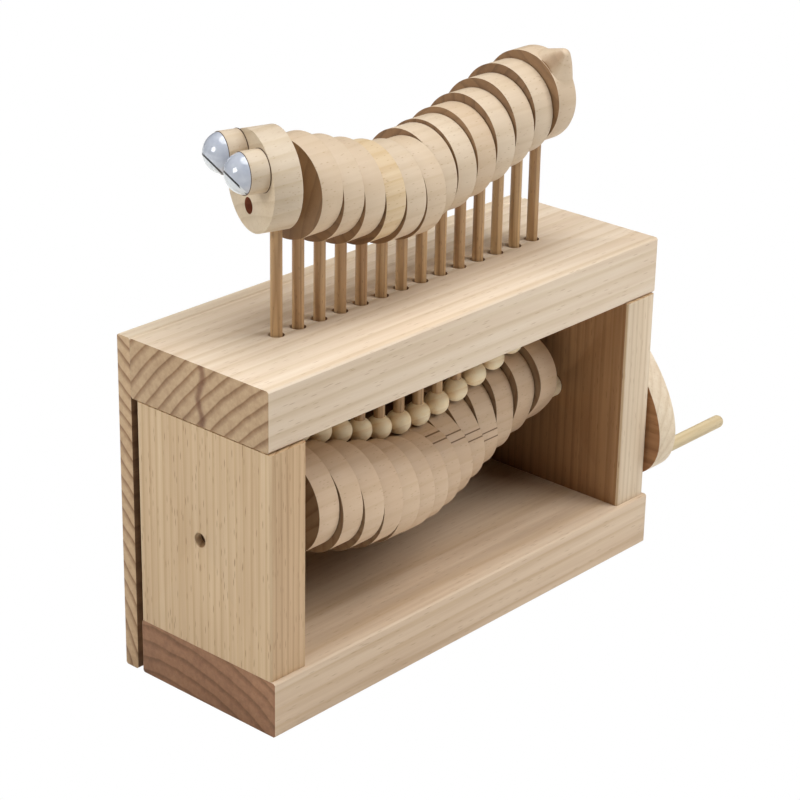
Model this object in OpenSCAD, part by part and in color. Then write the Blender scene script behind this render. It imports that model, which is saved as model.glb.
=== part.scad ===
// Hand-cranked wooden inchworm automaton in an open-fronted case.
// Millimetres. The origin is the middle of the base board's underside.
// X runs to the crank, the open front faces -Y, and Z is up.

/* [Case boards] */
// Length of the base board
base_l = 198; // [194:1:204]
// Depth of the base board, front to back
base_w = 63; // [61:0.5:66]
// Thickness of the base board
base_t = 20; // [18:0.5:22]
// Reach of the top board and the back panel past the base at the crank end
top_over = 0.5; // [0.2:0.1:1]
// Depth of the top board, front to back
top_w = 63; // [61:0.5:65]
// Thickness of the top board
top_t = 21; // [20:0.5:23]
// Thickness of both end panels
panel_t = 16; // [14:0.5:17]
// Depth of both end panels, front to back
panel_w = 61.4; // [60:0.1:61.8]
// Height of both end panels
panel_h = 80.5; // [79.5:0.5:84]
// Open joint over the head end panel
panel_joint = 0.4; // [0.2:0.1:0.8]
// Set-back of the crank end panel from the end of the base board
panel_inset = 0.5; // [0.3:0.1:1]
// Thickness of the back panel
back_t = 6; // [5.5:0.5:8]
// Slit between the back panel and the rear of the base and end panels
back_slit = 2.5; // [1.5:0.1:3]
// Small chamfer along the board edges
edge_c = 0.6; // [0.3:0.1:1]

/* [Hidden joinery] */
// Diameter of the dowels between the boards and the end panels
joint_d = 6; // [5:0.5:8]
// Length of the dowels between the boards and the end panels
joint_l = 24; // [18:1:28]
// Distance of each of those dowels from the middle of the end panel
joint_y = 18; // [14:1:22]
// Diameter of the dowels behind the back panel's top
back_pin_d = 4; // [3:0.5:5]
// Length of those dowels inside the top board
back_pin_in = 12; // [8:1:16]
// Length of those dowels inside the back panel
back_pin_out = 4; // [3:0.5:4.5]
// Distance between neighbouring back dowels
back_pin_gap = 70; // [50:5:80]
// Radial room for glue around a dowel
glue_fit = 0.05; // [0.03:0.01:0.08]

/* [Camshaft] */
// Diameter of the shaft
shaft_d = 5; // [4:0.2:5.4]
// Height of the shaft axis over the base board
shaft_h = 40; // [39:0.5:41]
// Distance of the shaft and the rod row behind the middle of the base
rod_y = 2.5; // [1.5:0.5:3.5]
// Radial running clearance of the shaft in the end panels
shaft_fit = 0.05; // [0.03:0.01:0.09]
// Depth of the shaft's end inside the outer face of the head end panel
shaft_recess = 3; // [1:0.5:6]
// Half of the cam's length along its throw
cam_r = 16.5; // [15.5:0.25:17]
// Gap between neighbouring cams
cam_gap = 0.6; // [0.4:0.1:0.8]
// Room between the head end panel and the first cam
head_room = 14.5; // [12:0.5:16]
// Room between the last cam and the crank end panel
crank_room = 11.6; // [9:0.2:13]
// Throw of each cam, half of a segment's travel
cam_throw = 9.5; // [8:0.25:9.75]
// Turn from each cam to the next
cam_step = 20; // [18:0.5:21]
// Diameter of the index dowel between two cams
pin_d = 2; // [1.6:0.1:2.2]
// Web of wood between the two index holes of a cam
pin_web = 1.4; // [1:0.1:3]
// Diameter of the spacer at the head end of the shaft
spacer_d = 14; // [13:0.5:18]
// Diameter of the spacer at the crank end of the shaft
collar_d = 9; // [8:0.5:12]
// End play of the shaft at each end panel
end_play = 0.5; // [0.3:0.1:1]

/* [Crank] */
// Thickness of the crank plate
plate_t = 9.8; // [8.5:0.1:12]
// Half length of the plate on the side of its handle
plate_a = 45; // [45:0.5:50]
// Half width of the plate
plate_b = 25.5; // [24:0.5:30]
// Room between the case and the plate
plate_gap = 0.7; // [0.4:0.1:1.5]
// Angle of the plate's long side at rest
plate_rest = 221.5; // [200:0.5:240]
// Diameter of the handle dowel
handle_d = 5; // [4.5:0.5:7]
// Distance of the handle from the shaft
handle_r = 40.5; // [36:0.5:41]
// Depth of the handle inside the plate
handle_in = 7; // [5:0.5:8]
// Length of the handle outside the plate
handle_l = 40.5; // [30:0.5:50]

/* [Push rods] */
// Diameter of a rod
rod_d = 4; // [3.6:0.1:4.4]
// Radial room of a rod in its hole in the top board
rod_play = 0.7; // [0.5:0.1:0.9]
// Diameter of the ball foot
ball_d = 9; // [7.5:0.25:9.25]
// Film of air kept between a ball foot and its cam
foot_gap = 0.3; // [0.25:0.05:0.5]
// Depth of a rod inside its segment
rod_in = 10; // [8:0.5:13]

/* [Inchworm] */
// Diameter of a body segment
seg_d = 33.6; // [32:0.2:35]
// Gap between neighbouring body segments
seg_gap = 0.6; // [0.4:0.1:0.8]
// Height of the lowest segment over the top board
ride_h = 18.5; // [15:0.5:22]
// Shift of the front slices to the back of their rods
front_shift = 1.6; // [0:0.1:4]
// Shift of the rear slices to the back of their rods
rear_shift = 5.5; // [0:0.1:7]
// Extra height of the rear slices on their rods
rear_rise = 1.5; // [0:0.1:3]
// Shift of the tail to the back of its rod
tail_shift = 3.3; // [0:0.1:5]
// Extra height of the tail on its rod
tail_rise = 2; // [0:0.5:3]
// Extra height of the head on its rod
head_rise = 1.3; // [0:0.1:3]
// Thickness of the head
head_t = 10; // [9:0.2:12]
// Wood of the head behind its rod
head_wall = 0.55; // [0.4:0.05:0.8]
// Least gap between the head and the next segment
head_gap = 0.45; // [0.35:0.05:0.6]
// Turn of the head away from the front
head_yaw = 18; // [8:0.5:20]
// Shift of the head to the back of its rod
head_shift = 3.3; // [0:0.1:4]
// Diameter of the mouth hole
mouth_d = 5.5; // [4:0.5:7]
// Depth of the mouth hole
mouth_depth = 4; // [2:0.5:4.5]
// Distance of the mouth under the middle of the head
mouth_down = 8.5; // [5:0.1:10]
// Shift of the mouth to the back of the head's middle
mouth_side = 1.3; // [-2:0.1:3]
// Diameter of an eye block
eye_d = 14; // [13.6:0.1:14]
// Thickness of an eye block
eye_t = 6.8; // [4:0.1:10]
// Diameter of an eye dome
dome_d = 13.4; // [10:0.1:13.6]
// Height of an eye dome
dome_h = 5.5; // [3:0.1:6.2]
// Distance between the eyes
eye_gap = 15.2; // [15.2:0.1:16.7]
// Height of the eyes over the middle of the head
eye_up = 6.9; // [5:0.1:11]
// Shift of the eyes to the back of the head's middle
eye_shift = -0.2; // [-3:0.1:3]
// Lean of the line through both eyes
eye_lean = 9; // [0:1:25]
// Height of the nub over the rim of the tail
nub_h = 6.4; // [5:0.1:8]
// Radius of the nub where it meets the rim
nub_r = 6.5; // [5.5:0.1:7]
// Radius of the nub's rounded tip
nub_tip = 2.6; // [2:0.1:2.8]
// Distance of the nub behind the middle of the tail
nub_back = 1.5; // [0.5:0.1:1.6]
// Set-back of the nub from the face of the tail
nub_step = 0.2; // [0.1:0.1:1]
// Turn of the nub from straight up to the front
nub_turn = 38; // [10:1:40]

/* [Hidden] */
rod_n = 14;
trough = 7.5;
cam_points = 60;
egg_points = 72;
bite = 1;

case_h = base_t + panel_h + top_t;
rear_y = base_w / 2;
top_y1 = rear_y + back_slit;
top_y0 = top_y1 - top_w;
case_x0 = -base_l / 2;
bay_x0 = case_x0 + panel_t;
panel_x1 = base_l / 2 - panel_inset;
bay_x1 = panel_x1 - panel_t;
top_l = base_l + top_over;
top_x1 = case_x0 + top_l;
panel_mid_y = rear_y - panel_w / 2;

shaft_z = base_t + shaft_h;
shaft_x0 = case_x0 + shaft_recess;
plate_x0 = top_x1 + plate_gap;
plate_x1 = plate_x0 + plate_t;
rod_pitch = (bay_x1 - bay_x0 - head_room - crank_room + cam_gap) / rod_n;
cam_t = rod_pitch - cam_gap;
seg_t = rod_pitch - seg_gap;
pin_in = (cam_t - pin_web) / 2;
ball_r = ball_d / 2;
foot_d = ball_r + foot_gap;
lift_mid = cam_r + foot_d;
pin_bore = pin_d + 2 * glue_fit;
rod_bore = rod_d + 2 * glue_fit;
seg_r = seg_d / 2;
body_lift = case_h + ride_h + seg_r - (shaft_z + lift_mid - cam_throw);
rod_l = body_lift - seg_r + rod_in;
head_rear = rod_bore / 2 + head_wall;
head_back = rod_pitch - seg_t / 2 - head_gap;
// Height of the tip's centre over the rim
nub_eye = nub_h - nub_tip;
// Slope of the nub's cone, so that it runs smoothly into its tip
nub_slope = atan2(nub_eye, nub_r) + asin(nub_tip / sqrt(nub_r * nub_r + nub_eye * nub_eye));
// Depth of the cone inside the tail, and its length along X
nub_root = 4;
nub_l = seg_t - 2 * nub_step;

// Two digits of a station number
function two(i) = i < 10 ? str("0", i) : str(i);
// Place of a station along the case
function rod_x(i) = bay_x0 + head_room + cam_t / 2 + (i - 1) * rod_pitch;
// Direction of a cam's throw
function cam_turn(i) = 180 + cam_step * (i - trough);
// Height of a ball foot's centre
function ball_z(i) = shaft_z + lift_mid + cam_throw * cos(cam_turn(i));
// Height of a segment's centre
function body_z(i) = ball_z(i) + body_lift;
// Shift of a slice to the back of its rod
function seg_shift(i) = i > rod_n / 2 ? rear_shift : front_shift;
// Extra height of a slice on its rod
function seg_rise(i) = i > rod_n / 2 ? rear_rise : 0;
// Rectangle with chamfered corners, from the origin
function chamfered(w, h, c) = [[c, 0], [w - c, 0], [w, c], [w, h - c],
                               [w - c, h], [c, h], [0, h - c], [0, c]];
// Point of the cam's outline that lifts a ball foot as a pure wave
function cam_point(a) =
    let (r = lift_mid + cam_throw * cos(a),
         s = cam_throw * sin(a),
         n = sqrt(r * r + s * s),
         out = r - foot_d * r / n,
         along = foot_d * s / n)
    [along * cos(a) - out * sin(a), out * cos(a) + along * sin(a)];
// Point of the crank plate's egg outline
function egg_point(a) = [(cos(a) > 0 ? plate_a : plate_b) * cos(a), plate_b * sin(a)];

// Extrudes an outline drawn in Y and Z along X
module along_x(l) {
    rotate([90, 0, 90]) linear_extrude(l) children();
}

// Round bar along X
module bar_x(d, l) {
    rotate([0, 90, 0]) cylinder(d = d, h = l, $fn = 48);
}

// Board whose long edges are chamfered
module board(l, w, t) {
    along_x(l) polygon(chamfered(w, t, edge_c));
}

// Board dowels between the end panels and the two boards, or their holes
module joint_bars(d, l) {
    for (x = [case_x0 + panel_t / 2, panel_x1 - panel_t / 2])
        for (y = [panel_mid_y - joint_y, panel_mid_y + joint_y])
            for (z = [base_t, base_t + panel_h])
                translate([x, y, z - l / 2]) cylinder(d = d, h = l, $fn = 48);
}

// Back dowels between the top board and the back panel, or their holes
module back_bars(d, room) {
    for (x = [-back_pin_gap, 0, back_pin_gap])
        translate([x, top_y1 + back_pin_out + room, case_h - top_t / 2])
            rotate([90, 0, 0])
                cylinder(d = d, h = back_pin_in + back_pin_out + 2 * room, $fn = 48);
}

module joint_holes() {
    joint_bars(joint_d + 2 * glue_fit, joint_l + 4 * glue_fit);
}

module back_holes() {
    back_bars(back_pin_d + 2 * glue_fit, 2 * glue_fit);
}

module base_board() {
    color("burlywood") difference() {
        translate([case_x0, -base_w / 2, 0]) board(base_l, base_w, base_t);
        joint_holes();
    }
}

module top_board() {
    color("wheat") difference() {
        translate([case_x0, top_y0, base_t + panel_h]) board(top_l, top_w, top_t);
        for (i = [1 : rod_n])
            translate([rod_x(i), rod_y, base_t + panel_h - bite])
                cylinder(d = rod_d + 2 * rod_play, h = top_t + 2 * bite, $fn = 48);
        joint_holes();
        back_holes();
    }
}

// End panel standing on the base, with its shaft bore
module end_panel(x, h) {
    difference() {
        translate([x, rear_y - panel_w, base_t])
            linear_extrude(h) polygon(chamfered(panel_t, panel_w, edge_c));
        translate([x - bite, rod_y, shaft_z]) bar_x(shaft_d + 2 * shaft_fit, panel_t + 2 * bite);
        joint_holes();
    }
}

module head_end_panel() {
    color("burlywood") end_panel(case_x0, panel_h - panel_joint);
}

module crank_end_panel() {
    color("burlywood") end_panel(bay_x1, panel_h);
}

module back_panel() {
    color("tan") difference() {
        translate([case_x0, top_y1, 0]) board(top_l, back_t, case_h);
        back_holes();
    }
}

module joint_dowels() {
    color("peru") joint_bars(joint_d, joint_l);
}

module back_dowels() {
    color("peru") back_bars(back_pin_d, 0);
}

module camshaft() {
    color("sienna") translate([shaft_x0, rod_y, shaft_z]) bar_x(shaft_d, plate_x1 - shaft_x0);
}

// Index dowel before a cam, or its hole
module pin_bar(i, d, room) {
    mid = rod_x(i) - rod_pitch / 2;
    half = (rod_pitch - cam_t) / 2 + pin_in + room;
    translate([mid - half, rod_y, shaft_z]) rotate([cam_turn(i), 0, 0])
        translate([0, 0, cam_throw / 2]) bar_x(d, 2 * half);
}

module pin_hole(i) {
    pin_bar(i, pin_bore, 2 * glue_fit);
}

// One cam on the shaft, with its shaft bore and its index holes
module cam(i) {
    difference() {
        translate([rod_x(i) - cam_t / 2, rod_y, shaft_z]) rotate([cam_turn(i), 0, 0])
            along_x(cam_t) polygon([for (k = [0 : cam_points - 1]) cam_point(360 * k / cam_points)]);
        translate([rod_x(i) - cam_t, rod_y, shaft_z]) bar_x(shaft_d + 2 * glue_fit, 2 * cam_t);
        pin_hole(i);
        if (i < rod_n) pin_hole(i + 1);
    }
}

module cams() {
    color("burlywood") for (i = [1 : rod_n]) cam(i);
}

// Spacer on the shaft between two places along it
module spacer(d, x0, x1) {
    difference() {
        translate([x0, rod_y, shaft_z]) bar_x(d, x1 - x0);
        translate([x0 - bite, rod_y, shaft_z]) bar_x(shaft_d + 2 * glue_fit, x1 - x0 + 2 * bite);
    }
}

module spacer_head_end() {
    color("peru") difference() {
        spacer(spacer_d, bay_x0 + end_play, rod_x(1) - rod_pitch + cam_t / 2);
        pin_hole(1);
    }
}

module spacer_crank_end() {
    color("peru") spacer(collar_d, rod_x(rod_n) + cam_t / 2 + cam_gap, bay_x1 - end_play);
}

// Handle dowel along X at its place on the plate, or its hole
module at_handle(x) {
    translate([x, rod_y, shaft_z]) rotate([plate_rest, 0, 0]) translate([0, handle_r, 0]) children();
}

module crank_plate() {
    color("wheat") difference() {
        translate([plate_x0, rod_y, shaft_z]) rotate([plate_rest, 0, 0])
            along_x(plate_t) polygon([for (k = [0 : egg_points - 1]) egg_point(360 * k / egg_points)]);
        translate([plate_x0 - bite, rod_y, shaft_z]) bar_x(shaft_d + 2 * glue_fit, plate_t + 2 * bite);
        at_handle(plate_x1 - handle_in - 2 * glue_fit) bar_x(handle_d + 2 * glue_fit, handle_in + bite);
    }
}

module crank_handle() {
    straight = handle_in + handle_l - handle_d / 2;
    color("peru") at_handle(plate_x1 - handle_in) union() {
        bar_x(handle_d, straight);
        translate([straight, 0, 0]) sphere(d = handle_d, $fn = 48);
    }
}

module cam_pin(i) {
    color("peru") pin_bar(i, pin_d, 0);
}

// Rod with its ball foot
module push_rod(i) {
    translate([rod_x(i), rod_y, ball_z(i)]) {
        color("saddlebrown") cylinder(d = rod_d, h = rod_l, $fn = 48);
        color("khaki") difference() {
            sphere(d = ball_d, $fn = 64);
            translate([0, 0, -2 * glue_fit]) cylinder(d = rod_bore, h = ball_d, $fn = 48);
        }
    }
}

// Blind hole for a rod in the segment at a station
module rod_hole(i) {
    translate([rod_x(i), rod_y, ball_z(i)]) cylinder(d = rod_bore, h = rod_l + 2 * glue_fit, $fn = 48);
}

module segment(i) {
    color("wheat") difference() {
        translate([rod_x(i) - seg_t / 2, rod_y + seg_shift(i), body_z(i) + seg_rise(i)])
            bar_x(seg_d, seg_t);
        rod_hole(i);
    }
}

// Frame of the head: its front is -X, its middle is the origin
module at_head() {
    translate([rod_x(1), rod_y, body_z(1) + head_rise]) rotate([0, 0, -head_yaw])
        translate([0, head_shift, 0]) children();
}

// Frame on the head's front face for each eye
module at_eyes() {
    for (s = [-1, 1])
        at_head() translate([head_rear - head_t, eye_shift, eye_up]) rotate([eye_lean, 0, 0])
            translate([0, s * eye_gap / 2, 0]) rotate([0, 0, 180]) children();
}

module head() {
    color("wheat") difference() {
        at_head() translate([head_rear - head_t, 0, 0]) bar_x(seg_d, head_t);
        at_head() translate([head_rear - head_t - bite, mouth_side, -mouth_down])
            bar_x(mouth_d, mouth_depth + bite);
        translate([rod_x(1) + head_back, rod_y - seg_d, body_z(1) - seg_d])
            cube([seg_d, 2 * seg_d, 2 * seg_d]);
        rod_hole(1);
    }
}

// Pointed nub that stands on the rim of the tail
module nub() {
    low_r = nub_r + nub_root / tan(nub_slope);
    top_r = nub_tip * sin(nub_slope);
    top_z = nub_eye + nub_tip * cos(nub_slope);
    translate([nub_back, 0, 0]) {
        translate([0, 0, -nub_root]) cylinder(r1 = low_r, r2 = top_r, h = nub_root + top_z, $fn = 64);
        translate([0, 0, nub_eye]) sphere(r = nub_tip, $fn = 64);
    }
}

module tail() {
    color("wheat") difference() {
        translate([rod_x(rod_n), rod_y + tail_shift, body_z(rod_n) + tail_rise]) union() {
            translate([-seg_t / 2, 0, 0]) bar_x(seg_d, seg_t);
            rotate([nub_turn, 0, 0]) translate([0, 0, seg_r]) intersection() {
                nub();
                translate([-nub_l / 2, -seg_d / 2, -seg_r]) cube([nub_l, seg_d, seg_d]);
            }
        }
        rod_hole(rod_n);
    }
}

module eye_blocks() {
    color("burlywood") at_eyes() bar_x(eye_d, eye_t);
}

// Cap of a ball that stands on the eye block
module eye_domes() {
    cap_r = (dome_d * dome_d / 4 + dome_h * dome_h) / (2 * dome_h);
    color("whitesmoke") at_eyes() translate([eye_t, 0, 0]) rotate([0, 90, 0]) intersection() {
        translate([0, 0, dome_h - cap_r]) sphere(r = cap_r, $fn = 96);
        cylinder(d = 2 * dome_d, h = dome_h + bite, $fn = 48);
    }
}

base_board();
top_board();
head_end_panel();
crank_end_panel();
back_panel();
joint_dowels();
back_dowels();
camshaft();
cams();
spacer_head_end();
spacer_crank_end();
crank_plate();
crank_handle();
for (i = [1 : rod_n]) {
    cam_pin(i);
    push_rod(i);
}
head();
for (i = [2 : rod_n - 1]) {
    segment(i);
}
tail();
eye_blocks();
eye_domes();
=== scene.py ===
"""Looks of a hand-cranked wooden inchworm automaton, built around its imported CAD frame."""

from __future__ import annotations

import logging
import math
from dataclasses import dataclass
from enum import Enum
from typing import Any, Callable, Union

import bmesh
import bpy
from mathutils import Matrix, Vector


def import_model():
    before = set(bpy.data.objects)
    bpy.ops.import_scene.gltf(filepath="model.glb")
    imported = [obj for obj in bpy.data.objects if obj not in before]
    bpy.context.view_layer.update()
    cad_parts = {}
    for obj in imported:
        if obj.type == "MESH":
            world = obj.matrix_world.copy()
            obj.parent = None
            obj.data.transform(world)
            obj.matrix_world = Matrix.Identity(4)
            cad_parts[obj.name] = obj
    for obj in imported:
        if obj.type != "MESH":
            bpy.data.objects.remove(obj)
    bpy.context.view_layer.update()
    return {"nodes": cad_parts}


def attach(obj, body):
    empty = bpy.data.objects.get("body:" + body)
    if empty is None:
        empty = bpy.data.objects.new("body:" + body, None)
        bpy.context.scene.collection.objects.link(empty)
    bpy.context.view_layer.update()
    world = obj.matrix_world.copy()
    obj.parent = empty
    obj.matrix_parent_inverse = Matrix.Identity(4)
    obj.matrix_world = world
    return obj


LOG = logging.getLogger("automaton")
MM = 0.001

# Sizes of the CAD source that the looks need, in millimetres
STATIONS = 14
PITCH = 10.0
FIRST_X = -63.8
ROW_Y = 2.5
ROD_R = 2.0

# Room for rounding when a face is picked by its plane, and reach of the weld, in millimetres
TOUCH = 0.01
WELD = 0.001

# Edges sharper than this are eased, in degrees
SHARP = 35.0

# Blender's ring wave repeats this many times in one full turn of its coordinate
WAVE_REPEATS = 20

Socket = bpy.types.NodeSocket
Link = Union[Socket, float, tuple]
Colour = tuple[float, float, float, float]
Point = tuple[float, float, float]


def linear(code: str) -> Colour:
    """Turns an sRGB colour into Blender's linear colour.

    Args:
        code: the colour as six hexadecimal digits.

    Returns:
        Red, green, blue and alpha in linear light.
    """
    parts = [int(code[i : i + 2], 16) / 255 for i in (0, 2, 4)]
    light = [p / 12.92 if p <= 0.04045 else ((p + 0.055) / 1.055) ** 2.4 for p in parts]
    return (light[0], light[1], light[2], 1.0)


class Grain(Enum):
    """Turn that lays the wood's fibres, in degrees about X, Y and Z."""

    ALONG_X = (0.0, 0.0, 0.0)
    ALONG_Y = (0.0, 0.0, -90.0)
    UPRIGHT = (0.0, 90.0, 0.0)

    def axis(self) -> Point:
        """Gives the direction of the fibres.

        Returns:
            The direction in the part's frame.
        """
        axes = {Grain.ALONG_X: (1.0, 0.0, 0.0), Grain.ALONG_Y: (0.0, 1.0, 0.0),
                Grain.UPRIGHT: (0.0, 0.0, 1.0)}
        return axes[self]


class Graph:
    """Node tree of one material or world."""

    def __init__(self, owner: Union[bpy.types.Material, bpy.types.World]) -> None:
        """Takes over the node tree of a new material or world.

        Args:
            owner: the material or world.
        """
        owner.use_nodes = True
        self.owner = owner
        self.tree = owner.node_tree
        self.tree.nodes.clear()

    def add(self, kind: str, settings: dict[str, Any], links: dict[Any, Link]) -> bpy.types.Node:
        """Adds a node with its settings and its inputs.

        Args:
            kind: Blender's name of the node type.
            settings: properties of the node.
            links: input name or number to a socket or a constant.

        Returns:
            The new node.
        """
        node = self.tree.nodes.new(kind)
        for key, value in settings.items():
            setattr(node, key, value)
        for key, value in links.items():
            if isinstance(value, Socket):
                self.tree.links.new(value, node.inputs[key])
            else:
                node.inputs[key].default_value = value
        return node

    def place(self) -> Socket:
        """Gives the place of the shaded point.

        Returns:
            The place in the part's frame, in metres.
        """
        return self.add("ShaderNodeTexCoord", {}, {}).outputs["Object"]

    def value(self, operation: str, *inputs: Link) -> Socket:
        """Works out a number.

        Args:
            operation: Blender's name of the operation.
            inputs: what it works on.

        Returns:
            The result.
        """
        return self.add("ShaderNodeMath", {"operation": operation}, dict(enumerate(inputs))).outputs[0]

    def scaled(self, vector: Socket, scale: Point) -> Socket:
        """Stretches coordinates.

        Args:
            vector: the coordinates.
            scale: factor along each axis.

        Returns:
            The stretched coordinates.
        """
        return self.add("ShaderNodeMapping", {}, {"Vector": vector, "Scale": scale}).outputs[0]

    def mix(self, share: Link, under: Link, over: Link, blend: str = "MIX") -> Socket:
        """Lays one colour over another.

        Args:
            share: how much of the upper colour shows.
            under: the lower colour.
            over: the upper colour.
            blend: Blender's name of the way they mix.

        Returns:
            The mixed colour.
        """
        settings = {"data_type": "RGBA", "blend_type": blend}
        return self.add("ShaderNodeMix", settings, {0: share, 6: under, 7: over}).outputs[2]

    def close(self, shader: bpy.types.Node, kind: str = "ShaderNodeOutputMaterial") -> None:
        """Links the last shader to the output.

        Args:
            shader: the shader's node.
            kind: Blender's name of the output node.
        """
        self.add(kind, {}, {"Surface": shader.outputs[0]})


@dataclass(frozen=True)
class Pencil:
    """Pencil lines along several stations' pieces, each a step below the one before, in millimetres."""

    across: Point
    places: tuple[float, ...]
    middle: float
    half: float
    width: float = 0.45
    lead: str = "7d6045"

    def draw(self, graph: Graph, colour: Socket) -> Socket:
        """Draws the lines over a colour.

        Args:
            graph: the material's node tree.
            colour: the colour under the lines.

        Returns:
            The colour with the lines.
        """
        x, y, z = graph.add("ShaderNodeSeparateXYZ", {}, {0: graph.place()}).outputs
        near = graph.value("COMPARE", x, self.middle * MM, self.half * MM)
        start = graph.value("SUBTRACT", x, (FIRST_X - PITCH / 2) * MM)
        station = graph.value("SNAP", start, PITCH * MM)
        stepped = graph.add("ShaderNodeCombineXYZ", {}, {0: station, 1: y, 2: z})
        height = graph.add("ShaderNodeVectorMath", {"operation": "DOT_PRODUCT"},
                           {0: stepped.outputs[0], 1: self.across})
        for at in self.places:
            line = graph.value("COMPARE", height.outputs["Value"], at * MM, self.width / 2 * MM)
            colour = graph.mix(graph.value("MULTIPLY", line, near), colour, linear(self.lead))
        return colour


@dataclass(frozen=True)
class Crack:
    """Drying crack in the cut ends of a board: a soft brown line that wanders.

    Lengths are in millimetres, and bends counts the line's waves in a metre.
    """

    at: float
    wander: float = 6.0
    core: float = 0.2
    edge: float = 2.2
    share: float = 0.75
    bends: float = 70.0
    stain: str = "6b3f24"

    def draw(self, graph: Graph, fibre: Socket, ends: Socket, colour: Socket) -> Socket:
        """Draws the crack over a colour.

        Args:
            graph: the material's node tree.
            fibre: the fibre coordinates.
            ends: 1 on cut ends and 0 on faces.
            colour: the colour under the crack.

        Returns:
            The colour with the crack.
        """
        across = graph.add("ShaderNodeSeparateXYZ", {}, {0: fibre}).outputs
        noise = graph.add("ShaderNodeTexNoise", {"noise_dimensions": "1D"},
                          {"W": across[2], "Scale": self.bends, "Detail": 1.0})
        line = graph.value("MULTIPLY_ADD", noise.outputs["Fac"], -self.wander * MM, across[1])
        away = graph.value("ABSOLUTE", graph.value("SUBTRACT", line, self.at * MM))
        stain = graph.add("ShaderNodeMapRange", {"interpolation_type": "SMOOTHSTEP"},
                          {"Value": away, "From Min": self.core * MM, "From Max": self.edge * MM,
                           "To Min": self.share, "To Max": 0.0})
        return graph.mix(graph.value("MULTIPLY", stain.outputs[0], ends), colour, linear(self.stain))


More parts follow.
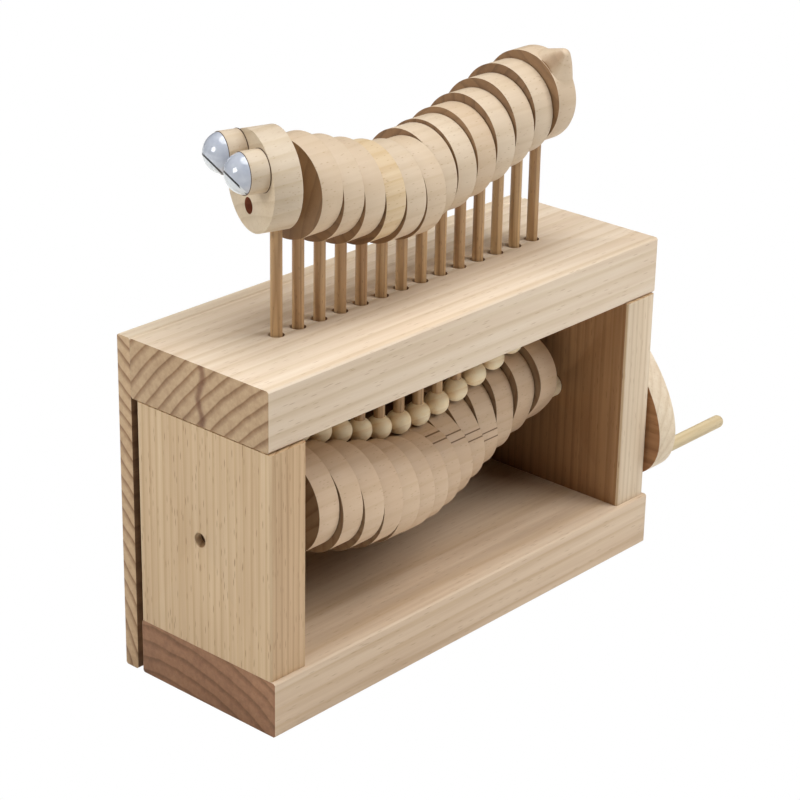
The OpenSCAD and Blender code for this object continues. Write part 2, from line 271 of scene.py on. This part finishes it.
@dataclass(frozen=True)
class Wood:
    """Bare sanded wood: rings, lengthwise streaks and the short dark flecks of beech.

    Lengths are in millimetres, and the scales of streaks and clouds count their waves in a metre.
    """

    name: str
    pale: str
    dark: str
    fleck: str
    end: str
    end_line: str
    grain: Grain = Grain.ALONG_X
    ring: float = 4.5
    ring_stretch: float = 0.12
    ring_stops: tuple[float, float] = (0.5, 0.9)
    pith: tuple[float, float] = (-90.0, -90.0)
    waviness: float = 3.0
    end_range: tuple[float, float] = (0.5, 0.95)
    crack: Crack | None = None
    fleck_share: float = 0.5
    fleck_long: float = 9.0
    fleck_wide: float = 0.9
    fleck_range: tuple[float, float] = (0.08, 0.22)
    streak_share: float = 0.5
    streak_scale: Point = (14.0, 500.0, 500.0)
    cloud_share: float = 0.35
    cloud_scale: Point = (9.0, 40.0, 40.0)
    by_station: bool = False
    station_shift: float = 60.0
    spin: bool = False
    spin_z: float = 150.0
    tint: str = "c89a6a"
    tint_share: float = 0.0
    pencil: Pencil | None = None
    roughness: float = 0.58
    bump: float = 0.12
    bump_depth: float = 0.3

    def coordinates(self, graph: Graph) -> tuple[Socket, Socket | None]:
        """Lays the fibres along the first axis.

        Args:
            graph: the material's node tree.

        Returns:
            The fibre coordinates in metres, and a random colour for each station or None.
        """
        place = graph.place()
        random = None
        if self.by_station:
            along = graph.add("ShaderNodeSeparateXYZ", {}, {0: place}).outputs[0]
            count = graph.value("MULTIPLY_ADD", along, 1 / (PITCH * MM), 0.5 - FIRST_X / PITCH)
            number = graph.value("FLOOR", count)
            noise = graph.add("ShaderNodeTexWhiteNoise", {"noise_dimensions": "1D"}, {"W": number})
            random = noise.outputs["Color"]
            if self.spin:
                angle = graph.value("MULTIPLY", noise.outputs["Value"], math.tau)
                centre = (0.0, ROW_Y * MM, self.spin_z * MM)
                place = graph.add("ShaderNodeVectorRotate", {"rotation_type": "X_AXIS"},
                                  {"Vector": place, "Center": centre, "Angle": angle}).outputs[0]
            shift = self.station_shift * MM
            place = graph.add("ShaderNodeVectorMath", {"operation": "MULTIPLY_ADD"},
                              {0: random, 1: (shift, shift, shift), 2: place}).outputs[0]
        turn = tuple(math.radians(a) for a in self.grain.value)
        laid = graph.add("ShaderNodeMapping", {}, {"Vector": place, "Rotation": turn})
        return laid.outputs[0], random

    def ends(self, graph: Graph) -> Socket:
        """Tells cut ends from faces.

        Args:
            graph: the material's node tree.

        Returns:
            1 where the surface cuts the fibres across and 0 where it runs along them.
        """
        normal = graph.add("ShaderNodeTexCoord", {}, {}).outputs["Normal"]
        facing = graph.add("ShaderNodeVectorMath", {"operation": "DOT_PRODUCT"},
                           {0: normal, 1: self.grain.axis()})
        size = graph.value("ABSOLUTE", facing.outputs["Value"])
        low, high = self.end_range
        share = graph.add("ShaderNodeMapRange", {}, {"Value": size, "From Min": low, "From Max": high})
        return share.outputs[0]

    def rings(self, graph: Graph, fibre: Socket, ends: Socket) -> Socket:
        """Draws yearly rings about a pith line beside the board: arcs on cut ends, long bands on faces.

        Cut ends drink more light than the faces, so they are darker and their rings are plainer; on the body
        slices and cams the dark ends are partly painted shade of the gaps between the pieces.

        Args:
            graph: the material's node tree.
            fibre: the fibre coordinates.
            ends: 1 on cut ends and 0 on faces.

        Returns:
            The colour with its rings.
        """
        centre = (0.0, -self.pith[0] * MM, -self.pith[1] * MM)
        place = graph.add("ShaderNodeMapping", {},
                          {"Vector": fibre, "Location": centre, "Scale": (self.ring_stretch, 1.0, 1.0)})
        wave = graph.add("ShaderNodeTexWave",
                         {"wave_type": "RINGS", "rings_direction": "X", "wave_profile": "SAW"},
                         {"Vector": place.outputs[0], "Scale": math.tau / (WAVE_REPEATS * self.ring * MM),
                          "Distortion": self.waviness, "Detail": 2.0, "Detail Scale": 0.7,
                          "Detail Roughness": 0.5})
        shades = []
        for pale, dark in ((self.pale, self.dark), (self.end, self.end_line)):
            ramp = graph.add("ShaderNodeValToRGB", {}, {"Fac": wave.outputs["Fac"]})
            stops = ramp.color_ramp.elements
            stops[0].color = linear(pale)
            stops[1].color = linear(pale)
            stops.new(self.ring_stops[0]).color = linear(pale)
            stops.new(self.ring_stops[1]).color = linear(dark)
            shades.append(ramp.outputs[0])
        return graph.mix(ends, shades[0], shades[1])

    def streaks(self, graph: Graph, fibre: Socket) -> Socket:
        """Spins fibre threads of 2 mm down to 0.3 mm by some centimetres, which break up the flat colour.

        Args:
            graph: the material's node tree.
            fibre: the fibre coordinates.

        Returns:
            The threads' height.
        """
        place = graph.scaled(fibre, self.streak_scale)
        noise = graph.add("ShaderNodeTexNoise", {},
                          {"Vector": place, "Scale": 1.0, "Detail": 3.0, "Roughness": 0.6})
        return noise.outputs["Fac"]

    def flecks(self, graph: Graph, fibre: Socket) -> Socket:
        """Strews ray flecks: dark spindles of a few millimetres along the fibres.

        Args:
            graph: the material's node tree.
            fibre: the fibre coordinates.

        Returns:
            How much of the flecks' colour shows.
        """
        long, wide = 1 / (self.fleck_long * MM), 1 / (self.fleck_wide * MM)
        place = graph.scaled(fibre, (long, wide, wide))
        spots = graph.add("ShaderNodeTexVoronoi", {}, {"Vector": place, "Scale": 1.0})
        low, high = self.fleck_range
        mask = graph.add("ShaderNodeMapRange", {"interpolation_type": "SMOOTHSTEP"},
                         {"Value": spots.outputs["Distance"], "From Min": low, "From Max": high,
                          "To Min": self.fleck_share, "To Max": 0.0})
        return mask.outputs[0]

    def clouds(self, graph: Graph, fibre: Socket) -> Socket:
        """Makes broad clouds: one board is never of one shade over a few centimetres.

        Args:
            graph: the material's node tree.
            fibre: the fibre coordinates.

        Returns:
            The clouds' brightness.
        """
        place = graph.scaled(fibre, self.cloud_scale)
        noise = graph.add("ShaderNodeTexNoise", {}, {"Vector": place, "Scale": 1.0, "Detail": 2.0})
        return noise.outputs["Fac"]

    def build(self) -> bpy.types.Material:
        """Makes the material.

        Returns:
            The finished material.
        """
        graph = Graph(bpy.data.materials.new(self.name))
        fibre, random = self.coordinates(graph)
        ends = self.ends(graph)
        colour = self.rings(graph, fibre, ends)
        if self.crack is not None:
            colour = self.crack.draw(graph, fibre, ends, colour)
        threads = self.streaks(graph, fibre)
        colour = graph.mix(self.streak_share, colour, threads, "SOFT_LIGHT")
        colour = graph.mix(self.flecks(graph, fibre), colour, linear(self.fleck))
        colour = graph.mix(self.cloud_share, colour, self.clouds(graph, fibre), "SOFT_LIGHT")
        if random is not None:
            level = graph.add("ShaderNodeSeparateColor", {}, {0: random}).outputs["Green"]
            colour = graph.mix(graph.value("MULTIPLY", level, self.tint_share), colour, linear(self.tint))
        if self.pencil is not None:
            colour = self.pencil.draw(graph, colour)
        bump = graph.add("ShaderNodeBump", {},
                         {"Strength": self.bump, "Distance": self.bump_depth * MM, "Height": threads})
        shader = graph.add("ShaderNodeBsdfPrincipled", {},
                           {"Base Color": colour, "Roughness": self.roughness, "IOR": 1.5,
                            "Normal": bump.outputs[0]})
        graph.close(shader)
        return graph.owner


@dataclass(frozen=True)
class Plastic:
    """Moulded glossy plastic or paint with a faint cloud in its colour."""

    name: str
    colour: str
    cloud: str
    roughness: float = 0.12
    coat: float = 0.0
    patch: float = 3.0

    def build(self) -> bpy.types.Material:
        """Makes the material.

        Returns:
            The finished material.
        """
        graph = Graph(bpy.data.materials.new(self.name))
        noise = graph.add("ShaderNodeTexNoise", {},
                          {"Vector": graph.place(), "Scale": 1 / (self.patch * MM), "Detail": 2.0})
        mixed = graph.mix(noise.outputs["Fac"], linear(self.colour), linear(self.cloud))
        shader = graph.add("ShaderNodeBsdfPrincipled", {},
                           {"Base Color": mixed, "Roughness": self.roughness, "IOR": 1.49,
                            "Coat Weight": self.coat, "Coat Roughness": 0.05})
        graph.close(shader)
        return graph.owner


# Sanded beech of the boards: pale cream with soft lengthwise bands, so the case reads as planed solid wood
TOP_WOOD = Wood("beech_planed_top", "dfcbb3", "d6c0a3", "ad8b66", "b89a77", "86623f", pith=(-139.0, -30.0),
                waviness=1.8, crack=Crack(-2.0))
BASE_WOOD = Wood("beech_planed_base", "d3bba0", "c9ae8f", "a08060", "93694a", "765032", pith=(20.0, -80.0),
                 ring=5.5)
PANEL_WOOD = Wood("beech_planed_panel", "ccb08c", "c1a27b", "8a633c", "ba9a74", "94704a",
                  grain=Grain.UPRIGHT, ring=3.0, pith=(-140.0, 30.0), fleck_share=0.7)
# Inside of the crank end panel: painted shade, a darker red-brown wood that keeps the end of the bay dark
PANEL_INSIDE_SHADE = Wood("beech_panel_inside_painted_shade", "ac8259", "9c734c", "70502f", "9c7850", "7c5a3a",
                  grain=Grain.UPRIGHT, ring=3.0, pith=(-140.0, 30.0))
# Front edge of the head end panel: cut across the rings, so it is browner than the broad face
EDGE_WOOD = Wood("beech_planed_edge", "c5a580", "b4926c", "8f6b46", "ad8c66", "8f6c48", grain=Grain.UPRIGHT,
                 ring=2.5, pith=(10.0, 220.0), fleck_share=0.6)
# Back panel: one broad planed board, a shade cooler than the top, so its long bands show from behind
BACK_WOOD = Wood("beech_planed_back", "d6c2a8", "cbb497", "a58460", "bfa07c", "8a6644", pith=(137.0, -40.0))
# Inside of the back panel and back of the head end panel: painted shade, darker wood so the bay and the slit
# sink into shade behind the cams
INSIDE_SHADE_WOOD = Wood("beech_inside_painted_shade", "765639", "69492e", "523822", "765639", "69492e",
                  pith=(137.0, -40.0))
# Front edge of the crank end panel: as pale as the top board
STILE_WOOD = Wood("beech_planed_stile", "dec9ae", "d2bb9c", "a98762", "bfa280", "8f6b48",
                  grain=Grain.UPRIGHT, ring=3.0, pith=(10.0, 220.0))
# Crank plate: the palest wood, sawn and left bare, so it stands out from the case
PLATE_WOOD = Wood("beech_sawn_plate", "e6d6c0", "e0ceb5", "a98760", "e2cfb4", "d8c3a5", grain=Grain.ALONG_Y,
                  pith=(60.0, 190.0))
# Inner face of the crank plate: painted shade, brown beside the case, so it reads as a dark wedge
PLATE_INSIDE_SHADE = Wood("beech_plate_painted_shade", "a5754a", "94663e", "744c2a", "a5754a", "94663e",
                   grain=Grain.ALONG_Y, pith=(60.0, 190.0))
# Slices of turned beech rod: pale rims with short flecks, and dark saw cuts between them: thirsty end grain
# with painted shade of the narrow gaps
SLICE_WOOD = Wood("beech_sawn_slice", "d6c3aa", "d1bda2", "a07d58", "85623f", "6f4f30", by_station=True,
                  spin=True, fleck_long=3.5, fleck_wide=0.8, streak_share=0.2, tint="c49a6c",
                  tint_share=0.3)
# One slice comes from another rod and is more orange than its neighbours; its saw cuts carry the same painted
# shade
AMBER_WOOD = Wood("beech_sawn_amber", "d8bf9b", "d0b48b", "a67c50", "85623f", "6f4f30", fleck_long=3.5,
                  fleck_wide=0.8, streak_share=0.35)
# Cams of the same rod, a little browner as painted shade in the bay, their dark cut ends partly painted shade
# too, with the maker's two marking lines across four of them
CAM_LINES = Pencil((0.257, 0.358, 0.906), (73.4, 76.05), middle=21.2, half=19.9)
CAM_WOOD = Wood("beech_sawn_cam", "d2b79a", "ccb091", "98744f", "866a4d", "75573b", by_station=True,
                spin=True, fleck_share=0.4, fleck_long=3.5, fleck_wide=0.8, streak_share=0.2, tint="c3a07a",
                tint_share=0.12, pencil=CAM_LINES)
# Head of paler rod, as pale on its front as on its rim
HEAD_WOOD = Wood("beech_sawn_head", "cfbda5", "c8b498", "ab8a66", "d2bfa3", "c8b395", fleck_long=3.5,
                 fleck_wide=0.8, streak_share=0.25)
# Split bamboo rods: brown with close lengthwise fibres, darker than the beech and each of its own shade
ROD_WOOD = Wood("bamboo_split_rod", "c8a578", "ab865c", "6a4c2c", "80603a", "6a4a2a", grain=Grain.UPRIGHT,
                ring=1.6, pith=(30.0, 5.0), fleck_long=4.0, fleck_wide=0.6, streak_share=0.7,
                by_station=True, tint="9a6a48", tint_share=0.3, roughness=0.5)
# Camshaft: dark wood as painted shade, so its end deep in its bore reads as a dark dot
SHAFT_SHADE_WOOD = Wood("dowel_shaft_painted_shade", "8a6846", "745436", "4e3420", "5a3e26", "46301c", ring=1.6)
# Turned beads and dowels: yellower and even, with a slight sheen from tumbling
BEAD_WOOD = Wood("lime_turned_bead", "fdebc6", "f5deb6", "d0ae80", "f3dcb4", "e8cba0", fleck_share=0.2,
                 roughness=0.45)
# Crank handle: a turned dowel, yellower than the plate and nearly plain
HANDLE_WOOD = Wood("birch_turned_handle", "d2bf9a", "c8b38c", "a88a60", "c4ae88", "b0966c", fleck_share=0.3)
# Mouth: the drilled hole painted red-brown as painted shade, so it stays warm in its own shade
MOUTH_SHADE = Plastic("mouth_hole_painted_shade", "9c5a3a", "7d4228", roughness=0.7)
# Moulded eye: white glossy shell with a printed grey lid whose blue-grey mottling is painted reflection, so it
# keeps a sharp highlight
EYE_WHITE = Plastic("acrylic_moulded_white", "e4e8ea", "ccd2d8", coat=0.6)
EYE_LID_REFLECTION = Plastic("acrylic_lid_grey_painted_reflection", "d2d6de", "a2a9ba", coat=0.8)
# Printed slit under the lid: nearly black, with little shine
EYE_SLIT = Plastic("print_black", "1c1c20", "2a2a2e", roughness=0.3)
# Thin dark brown rings round the eyes at each joint: painted shade in the joints
EYE_JOINT_SHADE = Plastic("eye_joint_painted_shade", "5a3a22", "3e2816", roughness=0.6)


def soften(obj: bpy.types.Object, width: float) -> None:
    """Rounds the sharp edges of a CAD node a little.

    Args:
        obj: the CAD node's object.
        width: width of the rounding in millimetres.
    """
    obj.data.polygons.foreach_set("use_smooth", [True] * len(obj.data.polygons))
    weld = obj.modifiers.new("weld", "WELD")
    weld.merge_threshold = WELD * MM
    bevel = obj.modifiers.new("arris", "BEVEL")
    bevel.width = width * MM
    bevel.segments = 2
    bevel.limit_method = "ANGLE"
    bevel.angle_limit = math.radians(SHARP)
    bevel.harden_normals = True


def paint(obj: bpy.types.Object, *materials: bpy.types.Material) -> None:
    """Gives an object its materials.

    Args:
        obj: the object.
        materials: its materials, the first for every face.
    """
    obj.data.materials.clear()
    for material in materials:
        obj.data.materials.append(material)


def pick(obj: bpy.types.Object, slot: int, test: Callable[[Vector], bool]) -> None:
    """Gives some faces of an object another of its materials.

    Args:
        obj: the object.
        slot: number of the material.
        test: tells from a face's middle, in metres, whether it takes the material.
    """
    for face in obj.data.polygons:
        if test(face.center):
            face.material_index = slot


def place_mesh(name: str, shape: bmesh.types.BMesh) -> bpy.types.Object:
    """Turns a shape into an object of the scene.

    Args:
        name: the object's name.
        shape: its shape in metres, which is used up.

    Returns:
        The new object.
    """
    mesh = bpy.data.meshes.new(name)
    shape.to_mesh(mesh)
    shape.free()
    obj = bpy.data.objects.new(name, mesh)
    bpy.context.scene.collection.objects.link(obj)
    return obj


def piece(name: str, shape: bmesh.types.BMesh, place: Matrix, material: bpy.types.Material, body: str) -> None:
    """Makes a piece of its own that rides on a CAD body.

    Args:
        name: the piece's name.
        shape: its shape in millimetres, which is used up.
        place: where it goes, in millimetres.
        material: its material.
        body: the CAD body it rides on.
    """
    bmesh.ops.transform(shape, matrix=Matrix.Scale(MM, 4) @ place, verts=shape.verts)
    bmesh.ops.recalc_face_normals(shape, faces=shape.faces)
    obj = place_mesh(name, shape)
    obj.data.polygons.foreach_set("use_smooth", [True] * len(obj.data.polygons))
    paint(obj, material)
    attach(obj, body)
    LOG.info("piece %s", name)


@dataclass
class Case:
    """The boards that stand still, in millimetres."""

    nodes: dict[str, bpy.types.Object]
    arris: float = 0.4
    front_y: float = -29.9
    inner_x: float = 82.5
    back_y: float = 34.0
    rear_y: float = 31.5

    def dress(self) -> None:
        """Gives each board its wood and its eased edges."""
        # The inner wood is painted shade for the faces inside the bay and the slit
        panel, inside = PANEL_WOOD.build(), INSIDE_SHADE_WOOD.build()
        woods = {"base_board": (BASE_WOOD.build(),), "top_board": (TOP_WOOD.build(),),
                 "head_end_panel": (panel, EDGE_WOOD.build(), inside),
                 "crank_end_panel": (panel, PANEL_INSIDE_SHADE.build(), STILE_WOOD.build()),
                 "back_panel": (BACK_WOOD.build(), inside)}
        for name, materials in woods.items():
            soften(self.nodes[name], self.arris)
            paint(self.nodes[name], *materials)
            LOG.info("board %s", name)
        self.pick_faces()
        bead = BEAD_WOOD.build()
        for name in ("joint_dowels", "back_dowels"):
            paint(self.nodes[name], bead)
            LOG.info("dowels %s", name)

    def pick_faces(self) -> None:
        """Gives the panels' front edges their own woods, and their inner faces painted shade."""
        head_end, crank_end = self.nodes["head_end_panel"], self.nodes["crank_end_panel"]
        pick(head_end, 1, lambda p: p.y < (self.front_y + TOUCH) * MM)
        # The head end panel's back face, in the slit, takes painted shade
        pick(head_end, 2, lambda p: p.y > (self.rear_y - TOUCH) * MM)
        # The crank end panel's inner face takes painted shade
        pick(crank_end, 1, lambda p: p.x < (self.inner_x + TOUCH) * MM)
        pick(crank_end, 2, lambda p: p.y < (self.front_y + TOUCH) * MM)
        # The back panel's inner face takes painted shade
        pick(self.nodes["back_panel"], 1, lambda p: p.y < (self.back_y + TOUCH) * MM)


@dataclass
class CamTrain:
    """The shaft with its cams and the crank, in millimetres."""

    nodes: dict[str, bpy.types.Object]
    arris: float = 0.3
    plate_x: float = 100.2

    def dress(self) -> None:
        """Gives the turning pieces their woods."""
        bead = BEAD_WOOD.build()
        # The camshaft takes painted shade
        woods = {"cams": CAM_WOOD.build(), "spacer_head_end": bead, "spacer_crank_end": bead,
                 "camshaft": SHAFT_SHADE_WOOD.build(), "crank_plate": PLATE_WOOD.build(),
                 "crank_handle": HANDLE_WOOD.build()}
        for number in range(1, STATIONS + 1):
            woods[f"cam_pin_{number:02d}"] = bead
        for name, wood in woods.items():
            paint(self.nodes[name], wood)
            LOG.info("turning piece %s", name)
        plate = self.nodes["crank_plate"]
        for obj in (self.nodes["cams"], plate):
            soften(obj, self.arris)
        # The plate's face towards the case takes painted shade
        plate.data.materials.append(PLATE_INSIDE_SHADE.build())
        pick(plate, 1, lambda p: p.x < (self.plate_x + TOUCH) * MM)


@dataclass
class Riders:
    """The rods with their ball feet, and the body slices on them, in millimetres."""

    nodes: dict[str, bpy.types.Object]
    arris: float = 0.35
    ball_room: float = 0.02
    amber_slice: str = "segment_05"

    def dress(self) -> None:
        """Gives rods, balls and slices their woods."""
        self.dress_rods()
        self.dress_slices()

    def dress_rods(self) -> None:
        """Gives the rods bamboo and their feet bead wood."""
        rod, bead = ROD_WOOD.build(), BEAD_WOOD.build()
        for number in range(1, STATIONS + 1):
            name = f"push_rod_{number:02d}"
            obj = self.nodes[name]
            paint(obj, rod, bead)
            axis = Vector((FIRST_X + PITCH * (number - 1), ROW_Y)) * MM
            pick(obj, 1, lambda p, axis=axis: (p.xy - axis).length > (ROD_R + self.ball_room) * MM)
            LOG.info("rod %s", name)

    def dress_slices(self) -> None:
        """Gives the slices behind the head their woods and eased edges."""
        wood, amber = SLICE_WOOD.build(), AMBER_WOOD.build()
        names = [f"segment_{n:02d}" for n in range(2, STATIONS)] + ["tail"]
        for name in names:
            soften(self.nodes[name], self.arris)
            paint(self.nodes[name], amber if name == self.amber_slice else wood)
            LOG.info("slice %s", name)


@dataclass
class Head:
    """The head with its mouth and eyes, in millimetres and degrees."""

    nodes: dict[str, bpy.types.Object]
    body: str = "rider_01"
    eye_slot: str = "eye_plastic"
    arris: float = 0.5
    block_arris: float = 0.3
    middle: Point = (FIRST_X, ROW_Y, 173.706)
    yaw: float = 18.0
    shift: float = 3.3
    front: float = -7.4
    eye_shift: float = -0.2
    eye_up: float = 6.9
    eye_lean: float = 9.0
    eye_gap: float = 15.2
    eye_t: float = 6.8
    eye_d: float = 14.0
    dome_d: float = 13.4
    dome_h: float = 5.5
    dome_span: tuple[float, float] = (-7.0, 7.0)
    dome_steps: tuple[int, int] = (96, 64)
    lid_skin: float = 0.12
    lid_lines: tuple[float, float] = (-3.1, -3.9)
    lid_up: Point = (-0.73, 0.0, 0.68)
    slit: float = 0.55
    slit_span: tuple[float, float] = (-3.8, 5.1)
    seat: float = 0.15
    rim_out: float = 0.05
    rim_r: float = 0.18
    joint_r: float = 0.16
    rim_steps: tuple[int, int] = (64, 10)
    mouth_d: float = 5.5
    mouth_down: float = 8.5
    mouth_side: float = 1.3
    mouth_room: float = 0.05

    def frame(self) -> Matrix:
        """Gives the head's frame.

        Returns:
            The head's place in millimetres; its front is towards -X.
        """
        return (Matrix.Translation(self.middle) @ Matrix.Rotation(math.radians(-self.yaw), 4, "Z")
                @ Matrix.Translation((0.0, self.shift, 0.0)))

    def eye_frame(self, side: int) -> Matrix:
        """Gives the frame on an eye block's front.

        Args:
            side: -1 for the eye at the front of the case, 1 for the other.

        Returns:
            The place in millimetres; X points out of the eye and Z is up.
        """
        return (self.frame() @ Matrix.Translation((self.front, self.eye_shift, self.eye_up))
                @ Matrix.Rotation(math.radians(self.eye_lean), 4, "X")
                @ Matrix.Translation((0.0, side * self.eye_gap / 2, 0.0))
                @ Matrix.Rotation(math.pi, 4, "Z") @ Matrix.Translation((self.eye_t, 0.0, 0.0)))

    def shell(self, low: float, high: float, span: tuple[float, float]) -> bmesh.types.BMesh:
        """Makes the part of the dome's skin between two slanted lines.

        Args:
            low: height of the lower line over the dome's middle.
            high: height of the upper line.
            span: where the part begins and ends across the dome.

        Returns:
            The skin as a mesh in the eye's frame.
        """
        ball = (self.dome_d ** 2 / 4 + self.dome_h ** 2) / (2 * self.dome_h)
        shape = bmesh.new()
        bmesh.ops.create_uvsphere(shape, u_segments=self.dome_steps[0], v_segments=self.dome_steps[1],
                                  radius=ball + self.lid_skin)
        bmesh.ops.translate(shape, verts=shape.verts, vec=(self.dome_h - ball, 0.0, 0.0))
        up = Vector(self.lid_up).normalized()
        out, across = Vector((1.0, 0.0, 0.0)), Vector((0.0, 1.0, 0.0))
        cuts = ((out * self.seat, -out), (up * low, -up), (up * high, up), (across * span[0], -across),
                (across * span[1], across))
        for point, away in cuts:
            everything = shape.verts[:] + shape.edges[:] + shape.faces[:]
            bmesh.ops.bisect_plane(shape, geom=everything, plane_co=point, plane_no=away, clear_outer=True)
        return shape

    def rim(self, major: float, minor: float) -> bmesh.types.BMesh:
        """Makes a ring about the eye's axis.

        Args:
            major: radius of the ring.
            minor: radius of its section.

        Returns:
            The ring as a mesh in the eye's frame.
        """
        shape = bmesh.new()
        steps, sides = self.rim_steps
        loops = []
        for i in range(steps):
            a = math.tau * i / steps
            loop = []
            for k in range(sides):
                b = math.tau * k / sides
                r = major + minor * math.cos(b)
                loop.append(shape.verts.new((minor * math.sin(b), r * math.cos(a), r * math.sin(a))))
            loops.append(loop)
        for i in range(steps):
            here, there = loops[i], loops[(i + 1) % steps]
            for k in range(sides):
                m = (k + 1) % sides
                shape.faces.new((here[k], here[m], there[m], there[k]))
        return shape

    def in_mouth(self, point: Vector) -> bool:
        """Tells whether a face of the head lies in the mouth hole.

        Args:
            point: the face's middle in metres.

        Returns:
            True for a face of the hole.
        """
        local = self.frame().inverted() @ (point / MM)
        away = Vector((local.y - self.mouth_side, local.z + self.mouth_down)).length
        inside = away < self.mouth_d / 2 + self.mouth_room
        return inside and self.front + self.mouth_room < local.x < 0.0

    def dress(self) -> None:
        """Gives the head its wood, its mouth and its eyes."""
        wood = HEAD_WOOD.build()
        head, blocks = self.nodes["head"], self.nodes["eye_blocks"]
        soften(head, self.arris)
        # The mouth hole's faces take painted shade
        paint(head, wood, MOUTH_SHADE.build())
        pick(head, 1, self.in_mouth)
        soften(blocks, self.block_arris)
        paint(blocks, wood)
        paint(self.nodes["eye_domes"], EYE_WHITE.build())
        self.build_eyes()
        LOG.info("head dressed")

    def build_eyes(self) -> None:
        """Adds the lids, slits and painted shade rings at the joints of both eyes."""
        lid, slit, joint_shade = EYE_LID_REFLECTION.build(), EYE_SLIT.build(), EYE_JOINT_SHADE.build()
        for side, name, line in zip((-1, 1), ("near", "far"), self.lid_lines):
            place = self.eye_frame(side)
            joint = place @ Matrix.Translation((self.seat - self.eye_t, 0.0, 0.0))
            parts = (("lid", self.shell(line, self.dome_d, self.dome_span), place, lid),
                     ("slit", self.shell(line - self.slit, line, self.slit_span), place, slit),
                     ("rim", self.rim(self.dome_d / 2 + self.rim_out, self.rim_r), place, joint_shade),
                     ("joint", self.rim(self.eye_d / 2, self.joint_r), joint, joint_shade))
            for part, shape, where, material in parts:
                piece(f"eye_{part}_{name}", shape, where, material, self.body)


@dataclass(frozen=True)
class Lamp:
    """A round soft lamp that points at the object, in metres and watts."""

    name: str
    place: Point
    size: float
    power: float
    aim: Point = (0.0, 0.0, 0.1)

    def build(self) -> None:
        """Adds the lamp to the scene."""
        data = bpy.data.lights.new(self.name, "AREA")
        data.shape = "DISK"
        data.size = self.size
        data.energy = self.power
        lamp = bpy.data.objects.new(self.name, data)
        turn = (Vector(self.aim) - Vector(self.place)).to_track_quat("-Z", "Y").to_matrix().to_4x4()
        lamp.matrix_world = Matrix.Translation(self.place) @ turn
        bpy.context.scene.collection.objects.link(lamp)


# Soft light from the front right, from above and a little from the head's side, as the photo's shades show
LAMPS = (Lamp("front_lamp", (1.2, -1.6, 1.8), 1.8, 31.5), Lamp("above_lamp", (0.0, -0.2, 2.6), 2.4, 63.0),
         Lamp("side_lamp", (-1.6, 0.5, 0.85), 0.7, 12.5))


@dataclass
class Studio:
    """Camera in millimetres and degrees, floor in metres, and soft light."""

    eye: Point = (-588.2, -519.0, 418.7)
    azimuth: float = -48.286
    elevation: float = 23.386
    roll: float = 1.113
    lens: float = 110.83
    sensor: float = 36.0
    floor_half: float = 4.0
    paper: str = "eeeeec"
    white: str = "ffffff"
    sky: float = 0.02

    def camera(self) -> None:
        """Sets the camera where the photo was taken."""
        a, e, r = (math.radians(v) for v in (self.azimuth, self.elevation, self.roll))
        back = Vector((math.sin(a) * math.cos(e), -math.cos(a) * math.cos(e), math.sin(e)))
        right = Vector((0.0, 0.0, 1.0)).cross(back).normalized()
        up = back.cross(right)
        across = math.cos(r) * right + math.sin(r) * up
        above = math.cos(r) * up - math.sin(r) * right
        data = bpy.data.cameras.new("photo_camera")
        data.lens = self.lens
        data.sensor_width = self.sensor
        cam = bpy.data.objects.new("photo_camera", data)
        turn = Matrix((across, above, back)).transposed().to_4x4()
        cam.matrix_world = Matrix.Translation(Vector(self.eye) * MM) @ turn
        bpy.context.scene.collection.objects.link(cam)
        bpy.context.scene.camera = cam

    def show_white(self, graph: Graph, lit: bpy.types.Node, white: bpy.types.Node) -> bpy.types.Node:
        """Shows plain white to the camera and something else to the light.

        Args:
            graph: the node tree.
            lit: the shader that the light meets.
            white: the shader that the camera sees.

        Returns:
            The node of both shaders.
        """
        seen = graph.add("ShaderNodeLightPath", {}, {}).outputs["Is Camera Ray"]
        return graph.add("ShaderNodeMixShader", {}, {0: seen, 1: lit.outputs[0], 2: white.outputs[0]})

    def floor(self) -> None:
        """Lays a pale floor that the camera sees as plain white, as in the cut-out photo."""
        graph = Graph(bpy.data.materials.new("paper_white"))
        paper = graph.add("ShaderNodeBsdfDiffuse", {}, {"Color": linear(self.paper)})
        white = graph.add("ShaderNodeEmission", {}, {"Color": linear(self.white), "Strength": 1.0})
        graph.close(self.show_white(graph, paper, white))
        shape = bmesh.new()
        bmesh.ops.create_grid(shape, x_segments=1, y_segments=1, size=self.floor_half)
        obj = place_mesh("floor", shape)
        paint(obj, graph.owner)

    def world(self) -> None:
        """Lights the scene evenly from all round."""
        world = bpy.data.worlds.new("studio")
        bpy.context.scene.world = world
        graph = Graph(world)
        soft = graph.add("ShaderNodeBackground", {}, {"Color": linear(self.white), "Strength": self.sky})
        white = graph.add("ShaderNodeBackground", {}, {"Color": linear(self.white)})
        graph.close(self.show_white(graph, soft, white), "ShaderNodeOutputWorld")

    def build(self) -> None:
        """Builds the studio."""
        self.camera()
        self.floor()
        self.world()
        for lamp in LAMPS:
            lamp.build()
        bpy.context.scene.view_settings.view_transform = "Standard"
        LOG.info("studio built")


def main() -> None:
    """Dresses the frame piece by piece."""
    logging.basicConfig(level=logging.INFO, format="%(message)s")
    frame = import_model()
    nodes = frame["nodes"]
    Case(nodes).dress()
    CamTrain(nodes).dress()
    Riders(nodes).dress()
    Head(nodes).dress()
    Studio().build()


if __name__ == "__main__":
    main()
